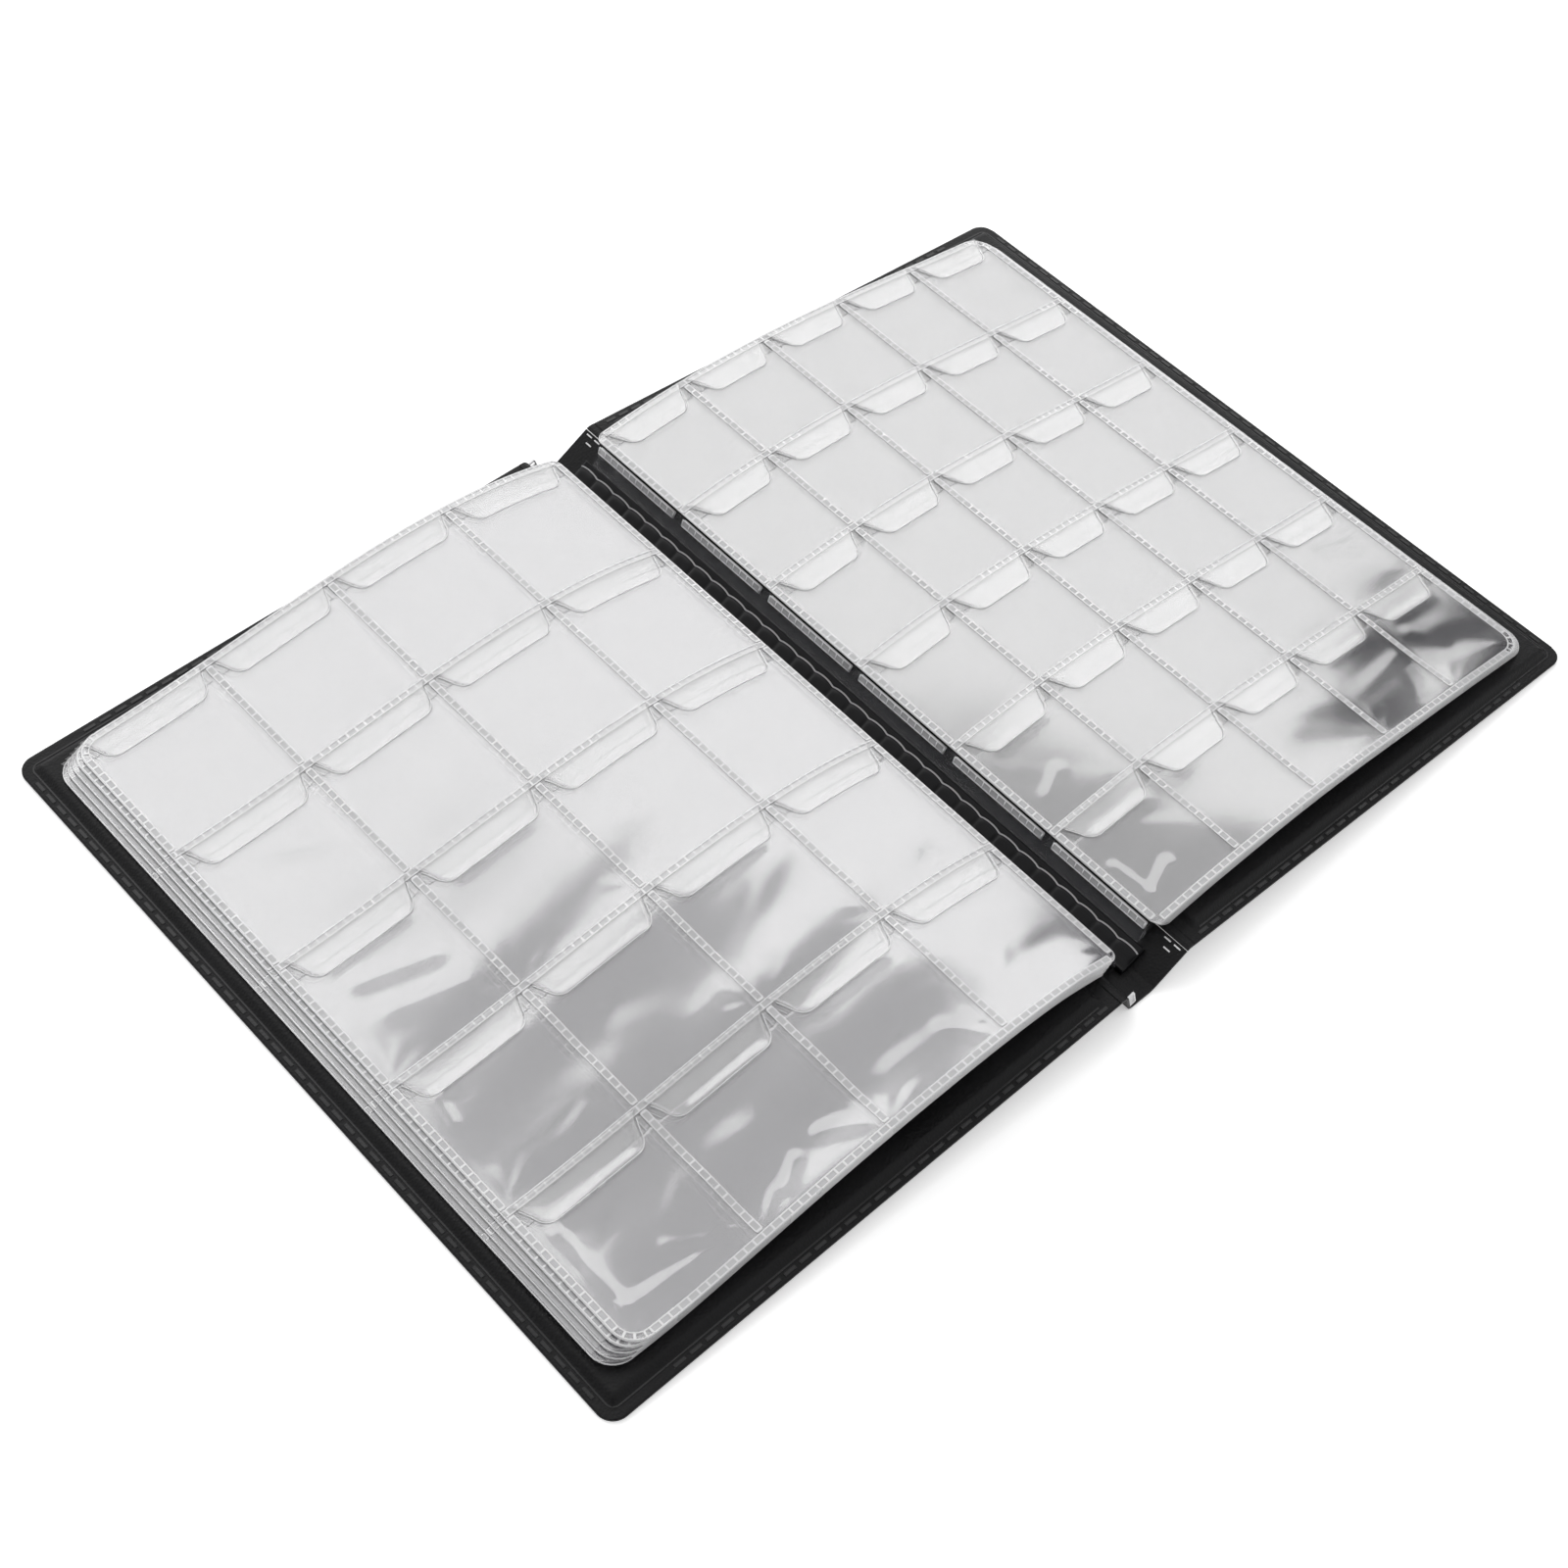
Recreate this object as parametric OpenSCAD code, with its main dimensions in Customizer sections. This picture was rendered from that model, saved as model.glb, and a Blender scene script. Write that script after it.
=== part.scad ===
// Coin album lying open: two board covers, a folded spine and ten pocket leaves.
// X runs across the open album, Y along the spine (page tops at +Y), Z is up.
// Millimetres. The table plane is z = 0.

/* [Covers] */
// Width of one cover, hinge line to outer edge
cover_w = 174.5; // [160:0.5:190]
// Height of the covers, along the spine
cover_h = 245; // [236:1:260]
// Radius of the outer cover corners
cover_corner_r = 5; // [2:0.5:9]
// Thickness of one cover skin
skin_t = 0.4; // [0.3:0.05:0.5]
// Thickness of the stiffening board
board_t = 1.6; // [1.2:0.1:1.6]
// Width of the flat welded rim round the board
rim_w = 5.5; // [4.5:0.25:7]
// Spacing of the dashes in the rim weld
dash_pitch = 5; // [4:0.5:8]

/* [Spine] */
// Distance from the middle of the spine to each hinge line
hinge_x = 13; // [12.5:0.25:15]
// Height of the cover undersides at the hinge lines
hinge_z = 8; // [7.5:0.25:8.5]
// Width of the flexible hinge web on the cover side
web_w = 1.5; // [1:0.1:2]
// Number of weld cells along the binding strip
cell_count = 31; // [20:1:33]

/* [Leaves] */
// Length of a leaf, along the spine
leaf_l = 228; // [200:1:232]
// Width of a leaf panel, inner end to outer edge
leaf_w = 167; // [150:1:168]
// Radius of the outer leaf corners
leaf_corner_r = 7; // [3:0.5:12]
// Height of the arch in the leaves
arch_rise = 5.2; // [2:0.1:5.2]
// Height step from one leaf to the next
leaf_step = 0.95; // [0.95:0.05:1]
// Sideways step from one leaf to the next
leaf_shift = 0.8; // [0.4:0.1:0.9]
// Width of the weld lines between pockets
weld_w = 2.4; // [1.6:0.1:3]

/* [Pockets] */
// Pocket columns on a left leaf
left_cols = 4; // [3:1:5]
// Pocket rows on a left leaf
left_rows = 5; // [4:1:6]
// Pocket columns on a right leaf
right_cols = 5; // [4:1:6]
// Pocket rows on a right leaf
right_rows = 6; // [5:1:7]
// Depth of a pocket flap
flap_h = 10.5; // [8.5:0.5:12]
// Distance from the row weld down to the pocket mouth
mouth_drop = 7; // [5:0.5:8]

/* [Hidden] */
LEFT = -1;
RIGHT = 1;
leaf_count = 5;
seg = 12;                      // flat strips across one arched leaf
margin_seg = 8;                // flat strips along one leaf margin
tilt = asin(hinge_z / cover_w);
cover_t = 2 * skin_t + board_t;
rim_t = 2 * skin_t;
rail_t = 0.15;                 // height of the rim weld dashes
rim_inset = rim_w + web_w;     // hinge line to board
drape_w = 0.8;                 // liner thickness round the board edge
seam = 0.1;                    // open seam between a hinge web and its neighbours

inner_x = 7.5;                 // inner end of the top leaf
inner_z = 9.6;                 // underside of the bottom leaf at its inner end
outer_z = 3.45;                // underside of the bottom leaf at its outer edge
arch_skew_left = 2;            // larger values move the hump towards the spine
arch_skew_right = 1.5;
back_top = 0.22;               // top of the back film
pocket_top = 0.42;             // top of the pocket film
rib_top = 0.55;                // top of the weld lines
flap_top = 0.73;               // top of the flaps
margin_t = 0.2;                // film thickness in the margins
margin_gap = 0.35;             // margin end to panel end

web_x = 0.9;                   // hinge line to spine edge
spine_drop = 0.45;             // spine edge below the hinge line
foot_l = -8.3;                 // left end of the flat foot
foot_r = -0.5;                 // right end of the flat foot
flank_x = 1;                   // start of the right flank
flank_z = 0.5;
toe_x = -9.5;                  // lower corner of the left flank
toe_z = 1;
bind_l = -3;                   // left edge of the binding strip
bind_run = 6;                  // reach of the binding strip up the flank
bind_t = 2.2;                  // thickness of the binding strip
cell_t = 0.3;                  // height of the weld cells
cell_r = 3.4;
cell_w = 4.6;

flap_side = 1.4;               // row end of a flap, in from the pocket weld
flap_taper = 2.6;              // slope of the flap sides
flap_cut = 2;                  // cut corners of a flap
strip_h = 2.2;                 // strip that joins the flaps of a row

spine_path = [
    [-hinge_x + web_x, hinge_z - spine_drop], [toe_x, toe_z], [foot_l, 0],
    [foot_r, 0], [flank_x, flank_z], [hinge_x - web_x, hinge_z - spine_drop]
];
flank_dir = unit(spine_path[5] - spine_path[4]);
flank_nrm = [-flank_dir[1], flank_dir[0]];
flank_deg = atan2(flank_dir[1], flank_dir[0]);
bind_end = spine_path[4] + flank_dir * bind_run;

black = [0.07, 0.07, 0.08];
board_grey = [0.45, 0.43, 0.40];
gloss_black = [0.03, 0.03, 0.035];
film = [0.86, 0.88, 0.90, 0.45];
film_front = [0.92, 0.93, 0.95, 0.5];
flap_white = [0.97, 0.97, 0.98, 0.6];

function unit(v) = v / norm(v);
function left_normal(a, b) = let (d = unit(b - a)) [-d[1], d[0]];

// Corner vector that keeps a ribbon at full thickness round a bend
function miter(path, k) =
    let (n = len(path),
         before = left_normal(path[max(k - 1, 0)], path[max(k, 1)]),
         after = left_normal(path[min(k, n - 2)], path[min(k + 1, n - 1)]))
    (before + after) / (1 + before * after);

function ribbon(path, low, high) = concat(
    [for (k = [0 : len(path) - 1]) path[k] + miter(path, k) * low],
    [for (k = [len(path) - 1 : -1 : 0]) path[k] + miter(path, k) * high]);

function bezier(a, b, c, d, t) =
    a * pow(1 - t, 3) + b * 3 * t * pow(1 - t, 2) + c * 3 * t * t * (1 - t) + d * pow(t, 3);

// Height of the arch at t, from 0 at the inner end to 1 at the outer edge
function bump(t, skew) =
    let (peak = 1 / (1 + skew)) t * pow(1 - t, skew) / (peak * pow(1 - peak, skew));

function skew_of(side) = side == LEFT ? arch_skew_left : arch_skew_right;
function end_x(i) = inner_x + leaf_shift * (i - 1);
function leaf_z(side, i, t) = inner_z + (outer_z - inner_z) * t
    + arch_rise * bump(t, skew_of(side)) + leaf_step * (leaf_count - i);
function cols(side) = side == LEFT ? left_cols : right_cols;
function rows(side) = side == LEFT ? left_rows : right_rows;
function col_pitch(side) = (leaf_w - weld_w) / cols(side);
function row_pitch(side) = (leaf_l - weld_w) / rows(side);

// Solid with a constant section in the XZ plane
module along_spine(points, length) {
    rotate([90, 0, 0])
        linear_extrude(height = length, center = true)
            polygon(points);
}

// ---- covers ----

// Places a cover drawn flat, with its hinge line at x = 0, on one side
module cover_place(side) {
    translate([side * hinge_x, 0, hinge_z])
        rotate([0, side * tilt, 0])
            mirror([side == LEFT ? 1 : 0, 0, 0])
                children();
}

module cover_outline(inset, r) {
    x0 = web_w + seam;
    reach = cover_w - inset;
    half = cover_h / 2 - inset;
    translate([x0, -half])
        square([reach - r - x0, 2 * half]);
    translate([x0, -half + r])
        square([reach - x0, 2 * (half - r)]);
    for (y = [-half + r, half - r])
        translate([reach - r, y])
            circle(r = r, $fn = 48);
}

module board_block(grow, height) {
    half = cover_h / 2 - rim_w + grow;
    translate([rim_inset - grow, -half, 0])
        cube([cover_w - rim_w - rim_inset + 2 * grow, 2 * half, height]);
}

module cover_skin(side) {
    color(black)
        cover_place(side)
            linear_extrude(height = skin_t)
                cover_outline(0, cover_corner_r);
}

module cover_board(side) {
    color(board_grey)
        cover_place(side)
            translate([0, 0, skin_t])
                board_block(0, board_t);
}

module cover_liner(side) {
    color(black)
        cover_place(side)
            difference() {
                union() {
                    translate([0, 0, skin_t])
                        linear_extrude(height = skin_t)
                            cover_outline(0, cover_corner_r);
                    translate([0, 0, skin_t])
                        board_block(drape_w, cover_t - skin_t);
                }
                translate([0, 0, skin_t])
                    board_block(0, board_t);
            }
}

// Dashes and one rail pressed into the rim round three sides
module cover_rim_weld(side) {
    dash_l = dash_pitch * 0.7;
    dash_w = 0.9;
    edge = 1.2;
    rail_w = 0.4;
    rail_in = edge + dash_w + 0.7;
    along = cover_w - cover_corner_r - 3 * dash_pitch;
    count_x = floor(along / dash_pitch);
    count_y = floor((cover_h - 2 * cover_corner_r - dash_pitch) / dash_pitch);
    color(gloss_black)
        cover_place(side)
            translate([0, 0, rim_t]) {
                for (k = [0 : count_y - 1])
                    translate([cover_w - edge - dash_w, (k - (count_y - 1) / 2) * dash_pitch - dash_l / 2, 0])
                        cube([dash_w, dash_l, rail_t]);
                for (end = [-1, 1])
                    for (k = [0 : count_x - 1])
                        translate([rim_inset + k * dash_pitch, end * (cover_h / 2 - edge - dash_w / 2), rail_t / 2])
                            cube([dash_l, dash_w, rail_t], center = true);
                linear_extrude(height = rail_t)
                    difference() {
                        cover_outline(rail_in, 2.5);
                        cover_outline(rail_in + rail_w, 2);
                        translate([0, -cover_h / 2])
                            square([rim_inset, cover_h]);
                    }
            }
}

// ---- spine ----

module spine_skin() {
    color(black)
        along_spine(ribbon(spine_path, 0, skin_t), cover_h);
}

module spine_liner() {
    color(black)
        along_spine(ribbon(spine_path, skin_t, rim_t), cover_h);
}

// Flexible strip between the spine edge and a cover
module hinge_web(side) {
    a = [side * (hinge_x - web_x + seam), hinge_z - spine_drop + seam];
    b = [side * hinge_x, hinge_z];
    c = [side * (hinge_x + web_w), hinge_z];
    color(black)
        along_spine(side == LEFT ? ribbon([c, b, a], 0, rim_t) : ribbon([a, b, c], 0, rim_t), cover_h);
}

module binding_strip() {
    color(gloss_black)
        along_spine(ribbon([[bind_l, 0], spine_path[3], spine_path[4], bind_end], rim_t, rim_t + bind_t), leaf_l);
}

module binding_weld_cells() {
    pitch = leaf_l / cell_count;
    mid = spine_path[4] + flank_dir * bind_run * 0.5 + flank_nrm * (rim_t + bind_t);
    color(gloss_black)
        for (k = [0 : cell_count - 1])
            translate([mid[0], (k - (cell_count - 1) / 2) * pitch, mid[1]])
                rotate([0, -flank_deg, 0])
                    linear_extrude(height = cell_t)
                        intersection() {
                            circle(r = cell_r, $fn = 48);
                            square([cell_w, 2 * cell_r], center = true);
                        }
}

// ---- leaves ----

// Arched film between two heights above the underside of leaf i
module arched_film(side, i, low, high) {
    up = [for (k = [0 : seg]) [side * (end_x(i) + leaf_w * k / seg), leaf_z(side, i, k / seg) + low]];
    down = [for (k = [seg : -1 : 0]) [side * (end_x(i) + leaf_w * k / seg), leaf_z(side, i, k / seg) + high]];
    along_spine(concat(up, down), leaf_l);
}

// Draws on the plan of leaf i: x from 0 at its inner end, y along the spine
module on_leaf(side, i) {
    column_h = 40;
    mirror([side == LEFT ? 1 : 0, 0, 0])
        translate([end_x(i), 0, 0])
            linear_extrude(height = column_h)
                children();
}

module leaf_outline() {
    r = leaf_corner_r;
    translate([0, -leaf_l / 2])
        square([leaf_w - r, leaf_l]);
    translate([0, -leaf_l / 2 + r])
        square([leaf_w, leaf_l - 2 * r]);
    for (y = [-leaf_l / 2 + r, leaf_l / 2 - r])
        translate([leaf_w - r, y])
            circle(r = r, $fn = 48);
}

// Open mouths of all the pockets
module mouths(side) {
    px = col_pitch(side);
    py = row_pitch(side);
    for (c = [0 : cols(side) - 1])
        for (r = [0 : rows(side) - 1])
            translate([c * px + weld_w, leaf_l / 2 - weld_w - r * py - (mouth_drop - weld_w)])
                square([px - weld_w, mouth_drop - weld_w]);
}

module weld_lines(side) {
    px = col_pitch(side);
    py = row_pitch(side);
    for (c = [0 : cols(side)])
        translate([c * px, -leaf_l / 2])
            square([weld_w, leaf_l]);
    for (r = [0 : rows(side)])
        translate([0, leaf_l / 2 - weld_w - r * py])
            square([leaf_w, weld_w]);
}

// One row of flaps hanging from the strip that is welded under its row line
module flap_comb(side) {
    px = col_pitch(side);
    x0 = weld_w / 2 + flap_side;
    x1 = px + weld_w / 2 - flap_side;
    polygon(concat(
        [[0, 0], [leaf_w, 0], [leaf_w, -strip_h]],
        [for (c = [cols(side) - 1 : -1 : 0], p = [
            [x1, -strip_h], [x1 - flap_taper, -flap_h + flap_cut],
            [x1 - flap_taper - flap_cut, -flap_h], [x0 + flap_taper + flap_cut, -flap_h],
            [x0 + flap_taper, -flap_h + flap_cut], [x0, -strip_h]
        ]) [c * px, 0] + p],
        [[0, -strip_h]]));
}

module flap_rows(side) {
    for (r = [0 : rows(side) - 1])
        translate([0, leaf_l / 2 - r * row_pitch(side)])
            flap_comb(side);
}

module back_film(side, i) {
    color(film)
        intersection() {
            arched_film(side, i, 0, back_top);
            on_leaf(side, i)
                leaf_outline();
        }
}

module pocket_film(side, i) {
    color(film_front) {
        intersection() {
            arched_film(side, i, back_top, pocket_top);
            on_leaf(side, i)
                difference() {
                    leaf_outline();
                    mouths(side);
                }
        }
        intersection() {
            arched_film(side, i, pocket_top, rib_top);
            on_leaf(side, i)
                intersection() {
                    leaf_outline();
                    weld_lines(side);
                }
        }
    }
}

module flaps(side, i) {
    color(flap_white)
        intersection() {
            arched_film(side, i, rib_top, flap_top);
            on_leaf(side, i)
                intersection() {
                    leaf_outline();
                    flap_rows(side);
                }
        }
}

// Unwelded margin that bends up from the binding strip to leaf i
module margin(side, i) {
    up = leaf_count - i;
    layer = 0.38;
    left_root = [bind_l - seam, rim_t + 0.3 + layer * up];
    right_root = bind_end + flank_dir * seam + flank_nrm * (rim_t + 0.3 + layer * up);
    top = [side * (end_x(i) - margin_gap), inner_z + leaf_step * up + 0.05];
    left_path = [for (k = [0 : margin_seg])
        bezier(left_root, left_root + [-3, 0.2], top + [1.6, -4], top, k / margin_seg)];
    right_path = [for (k = [0 : margin_seg])
        bezier(right_root, right_root + flank_dir * 1.6, top + [-0.9, -2.4], top, k / margin_seg)];
    color(film)
        along_spine(ribbon(side == LEFT ? left_path : right_path, 0, margin_t), leaf_l);
}

function side_name(side) = side == LEFT ? "left" : "right";
function leaf_name(side, i) = str(side_name(side), "_leaf_", i);

spine_skin();
spine_liner();
hinge_web(LEFT);  // left_hinge_web
hinge_web(RIGHT);  // right_hinge_web
binding_strip();
binding_weld_cells();
cover_skin(LEFT);  // left_cover_skin
cover_board(LEFT);  // left_cover_board
cover_liner(LEFT);  // left_cover_liner
cover_rim_weld(LEFT);  // left_cover_rim_weld
cover_skin(RIGHT);  // right_cover_skin
cover_board(RIGHT);  // right_cover_board
cover_liner(RIGHT);  // right_cover_liner
cover_rim_weld(RIGHT);  // right_cover_rim_weld
for (side = [LEFT, RIGHT], i = [1 : leaf_count]) {
    back_film(side, i);
    pocket_film(side, i);
    flaps(side, i);
    margin(side, i);
}
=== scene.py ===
"""Coin album lying open, with ten clear pocket leaves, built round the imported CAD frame."""

import math

import bpy
import numpy as np
from mathutils import Matrix, Vector


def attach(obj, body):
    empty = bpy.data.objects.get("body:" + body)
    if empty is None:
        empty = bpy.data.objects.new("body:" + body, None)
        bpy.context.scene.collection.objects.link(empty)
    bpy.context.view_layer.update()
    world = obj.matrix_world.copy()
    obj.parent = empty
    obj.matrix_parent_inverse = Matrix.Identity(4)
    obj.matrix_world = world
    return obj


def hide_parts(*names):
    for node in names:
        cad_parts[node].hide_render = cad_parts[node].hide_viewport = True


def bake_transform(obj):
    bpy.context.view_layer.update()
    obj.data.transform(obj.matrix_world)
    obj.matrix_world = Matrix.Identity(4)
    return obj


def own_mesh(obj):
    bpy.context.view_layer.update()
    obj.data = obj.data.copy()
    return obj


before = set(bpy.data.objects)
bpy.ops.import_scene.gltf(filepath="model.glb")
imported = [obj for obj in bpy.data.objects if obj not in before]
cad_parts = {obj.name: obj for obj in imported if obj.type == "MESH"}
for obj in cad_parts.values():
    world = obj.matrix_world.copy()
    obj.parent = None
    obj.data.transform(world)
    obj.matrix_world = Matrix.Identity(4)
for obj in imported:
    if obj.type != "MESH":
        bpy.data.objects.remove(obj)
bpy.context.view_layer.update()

MM = 0.001
LEFT, RIGHT = -1, 1
SIDES = {LEFT: "left", RIGHT: "right"}
LEAVES = 5

# Sizes in millimetres, as in the CAD source
LEAF_W, LEAF_L, LEAF_R = 167.0, 228.0, 7.0
INNER_X, INNER_Z, OUTER_Z = 7.5, 9.6, 3.45
STEP, SHIFT = 0.95, 0.8
SKEW = {LEFT: 2.0, RIGHT: 1.5}

# The soft leaves stand in a fuller arch than their CAD solids
ARCH = {LEFT: 8.4, RIGHT: 6.2}
# Lower leaves of the left stack reach a little further out, as their films have slid
SLIDE = {LEFT: 0.75, RIGHT: 0.3}
INNER_R = 3.0
COLS = {LEFT: 4, RIGHT: 5}
ROWS = {LEFT: 5, RIGHT: 6}
WELD = 2.4
FLAP_H, MOUTH = 10.5, 7.0
BACK_T, POCKET_Z, POCKET_T, FLAP_Z, FLAP_T = 0.2, 0.22, 0.18, 0.43, 0.12
HINGE_X, HINGE_Z, COVER_W, COVER_H, COVER_R = 13.0, 8.0, 174.5, 245.0, 5.0
RIM, RIM_T, BOARD_T, WEB = 5.5, 0.8, 1.6, 1.5
TILT = math.asin(HINGE_Z / COVER_W)

CAMERA_PLACE, CAMERA_AIM = Vector((-0.354, -0.2831, 0.5391)), Vector((-0.032, -0.0132, 0.005))
CAMERA_LENS, CAMERA_ROLL = 57.0, math.radians(9.0)


# ---- camera ----


def make_camera(place, aim, lens, roll):
    forward = (aim - place).normalized()
    level = forward.cross(Vector((0, 0, 1))).normalized()
    upright = level.cross(forward)
    right = math.cos(roll) * level + math.sin(roll) * upright
    up = math.cos(roll) * upright - math.sin(roll) * level
    data = bpy.data.cameras.new("camera")
    data.lens = lens
    data.sensor_width = 36
    data.clip_start, data.clip_end = 0.01, 50
    camera = bpy.data.objects.new("camera", data)
    bpy.context.scene.collection.objects.link(camera)
    matrix = Matrix((right, up, -forward)).transposed().to_4x4()
    matrix.translation = place
    camera.matrix_world = matrix
    bpy.context.scene.camera = camera


make_camera(CAMERA_PLACE, CAMERA_AIM, CAMERA_LENS, CAMERA_ROLL)


# ---- materials ----


class Nodes:
    """A material's node tree, with short calls to add and join nodes."""

    def __init__(self, name):
        self.material = bpy.data.materials.new(name)
        self.material.use_nodes = True
        self.tree = self.material.node_tree
        self.shader = self.tree.nodes["Principled BSDF"]
        self.texture_place = None

    def add(self, kind, **values):
        node = self.tree.nodes.new(kind)
        for key, value in values.items():
            if hasattr(node, key):
                setattr(node, key, value)
            else:
                node.inputs[key.replace("_", " ")].default_value = value
        return node

    def join(self, a, out, b, into):
        self.tree.links.new(a.outputs[out], b.inputs[into])

    def place(self):
        self.texture_place = self.texture_place or self.add("ShaderNodeTexCoord")
        return self.texture_place

    def noise(self, scale, detail):
        node = self.add("ShaderNodeTexNoise", Scale=scale, Detail=detail, Roughness=0.55)
        self.join(self.place(), "Object", node, "Vector")
        return node

    def spread(self, source, out, low, high, start=0.3, stop=0.7):
        node = self.add("ShaderNodeMapRange")
        for key, value in (("From Min", start), ("From Max", stop), ("To Min", low), ("To Max", high)):
            node.inputs[key].default_value = value
        self.join(source, out, node, "Value")
        return node

    def colours(self, source, out, low, high, start=0.3, stop=0.7):
        ramp = self.add("ShaderNodeValToRGB")
        ramp.color_ramp.elements[0].position = start
        ramp.color_ramp.elements[1].position = stop
        ramp.color_ramp.elements[0].color = (*low, 1)
        ramp.color_ramp.elements[1].color = (*high, 1)
        self.join(source, out, ramp, "Fac")
        self.join(ramp, "Color", self.shader, "Base Color")
        return ramp

    def bump(self, source, out, strength, distance, under=None):
        node = self.add("ShaderNodeBump", Strength=strength, Distance=distance)
        self.join(source, out, node, "Height")
        if under:
            self.join(under, "Normal", node, "Normal")
        self.join(node, "Normal", self.shader, "Normal")
        return node


def vinyl(name, low, high, rough, grain, grain_depth, specular, coat=0.0, coat_rough=0.1):
    """Black PVC with a pressed grain."""
    n = Nodes(name)
    n.shader.inputs["Specular IOR Level"].default_value = specular
    n.shader.inputs["Coat Weight"].default_value = coat
    n.shader.inputs["Coat Roughness"].default_value = coat_rough
    cells = n.add("ShaderNodeTexVoronoi", Scale=grain)
    n.join(n.place(), "Object", cells, "Vector")
    cloud = n.noise(38.0, 5.0)
    n.colours(cloud, "Fac", low, high)
    rough_map = n.spread(cloud, "Fac", rough - 0.07, rough + 0.07)
    n.join(rough_map, "Result", n.shader, "Roughness")
    soft = n.bump(n.noise(60.0, 2.0), "Fac", 0.35, 0.0008)
    n.bump(cells, "Distance", 0.5, grain_depth, under=soft)
    return n.material


def clear_film(name, shade, alpha, ior, rough):
    """Clear PVC film. A stack of it over a black cover reads as a soft grey mirror."""
    n = Nodes(name)
    n.shader.inputs["IOR"].default_value = ior
    n.shader.inputs["Alpha"].default_value = alpha
    cloud = n.noise(24.0, 4.0)
    n.colours(cloud, "Fac", [c * 0.92 for c in shade], [c * 1.08 for c in shade])
    rough_map = n.spread(cloud, "Fac", rough * 0.8, rough * 1.3)
    n.join(rough_map, "Result", n.shader, "Roughness")
    return n.material


BLACK_LOW, BLACK_HIGH = (0.006, 0.006, 0.0065), (0.011, 0.011, 0.012)
DEEP_LOW, DEEP_HIGH = (0.004, 0.004, 0.005), (0.008, 0.008, 0.009)
BOARD_LOW, BOARD_HIGH = (0.16, 0.15, 0.14), (0.26, 0.25, 0.23)
MATERIALS = {
    "cover_skin": vinyl("cover_skin_grain", BLACK_LOW, BLACK_HIGH, 0.5, 1400.0, 0.00018, 0.16),
    "cover_lining": vinyl("lining_grain", BLACK_LOW, BLACK_HIGH, 0.44, 1500.0, 0.0002, 0.17),
    "rim_weld": vinyl("rim_weld_vinyl", BLACK_LOW, BLACK_HIGH, 0.3, 1700.0, 0.00006, 0.4),
    "binding_gloss": vinyl("binding_vinyl", DEEP_LOW, DEEP_HIGH, 0.2, 400.0, 0.00002, 0.12, 0.12, 0.08),
    "grey_board": vinyl("grey_board_fibres", BOARD_LOW, BOARD_HIGH, 0.9, 2500.0, 0.0001, 0.1),
    "clear_film": clear_film("back_film_vinyl", (0.28, 0.27, 0.305), 0.20, 7.5, 0.11),
    "pocket_film": clear_film("pocket_film_vinyl", (0.28, 0.27, 0.305), 0.22, 7.5, 0.09),
    # The flaps are the same film in a paler colour: painted light for the brighter reflection of the extra
    # layer
    "flap_film": clear_film("flap_film_painted_light", (0.66, 0.66, 0.67), 0.16, 7.5, 0.12),
}
# The right-hand leaves take copies of the same films: a darker base colour, painted shade for the right
# page's darker reflections, and paler flaps, painted light
RIGHT_LIT_AND_SHADED_FILMS = {
    "clear_film": clear_film("right_back_film_painted_shade", (0.165, 0.16, 0.18), 0.20, 7.5, 0.11),
    "pocket_film": clear_film("right_pocket_film_painted_shade", (0.165, 0.16, 0.18), 0.22, 7.5, 0.09),
    "flap_film": clear_film("right_flap_film_painted_light", (0.84, 0.84, 0.85), 0.2, 7.5, 0.12),
}
# Whitish weld film: partly the weld's own milky tone, partly a painted highlight, so that rails and thin
# edges read as bright lines
WELD_TONE_AND_HIGHLIGHT_FILM = clear_film("weld_film_tone_and_highlight", (0.8, 0.8, 0.81), 0.7, 4.5, 0.25)
# Pale films for the root weld on the steep right-hand margins: painted light where the margin would reflect
# dark; the near-white one also paints the glints of the spine-end welds
ROOT_BED_LIT_FILM = clear_film("root_bed_painted_light", (0.76, 0.76, 0.77), 0.45, 2.2, 0.35)
ROOT_WELD_LIT_FILM = clear_film("root_weld_painted_light", (0.9, 0.9, 0.91), 0.95, 1.6, 0.25)
# Bed film in the welds: its grey is painted light and shade, a fixed level standing in for the weld's weaker
# reflection
BED_LIGHT_AND_SHADE_FILM = clear_film("weld_bed_painted_light_and_shade", (0.76, 0.76, 0.77), 0.32, 1.8, 0.4)
# Grey bead film: a painted highlight along the scalloped bead and weld ticks of the black binding
BEAD_HIGHLIGHT_FILM = clear_film("bead_painted_highlight", (0.5, 0.5, 0.51), 0.85, 1.5, 0.3)
# Dark, nearly invisible copy of the film for the right-hand root strips: painted shade where the gutter is
# dark
ROOT_SHADED_FILM = clear_film("root_film_painted_shade", (0.1, 0.1, 0.11), 0.05, 2.2, 0.08)


# ---- mesh building ----


def add_piece(name, points, faces, material, slot, body=None, replaces=(), smooth=True):
    mesh = bpy.data.meshes.new(name)
    mesh.from_pydata((np.asarray(points) * MM).tolist(), [], [tuple(f) for f in faces])
    mesh.validate()
    mesh.update()
    mesh.shade_smooth() if smooth else mesh.shade_flat()
    mesh.materials.append(material)
    piece = bpy.data.objects.new(name, mesh)
    bpy.context.scene.collection.objects.link(piece)
    if body:
        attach(piece, body)
    if replaces:
        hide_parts(*replaces)
    return piece


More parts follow.
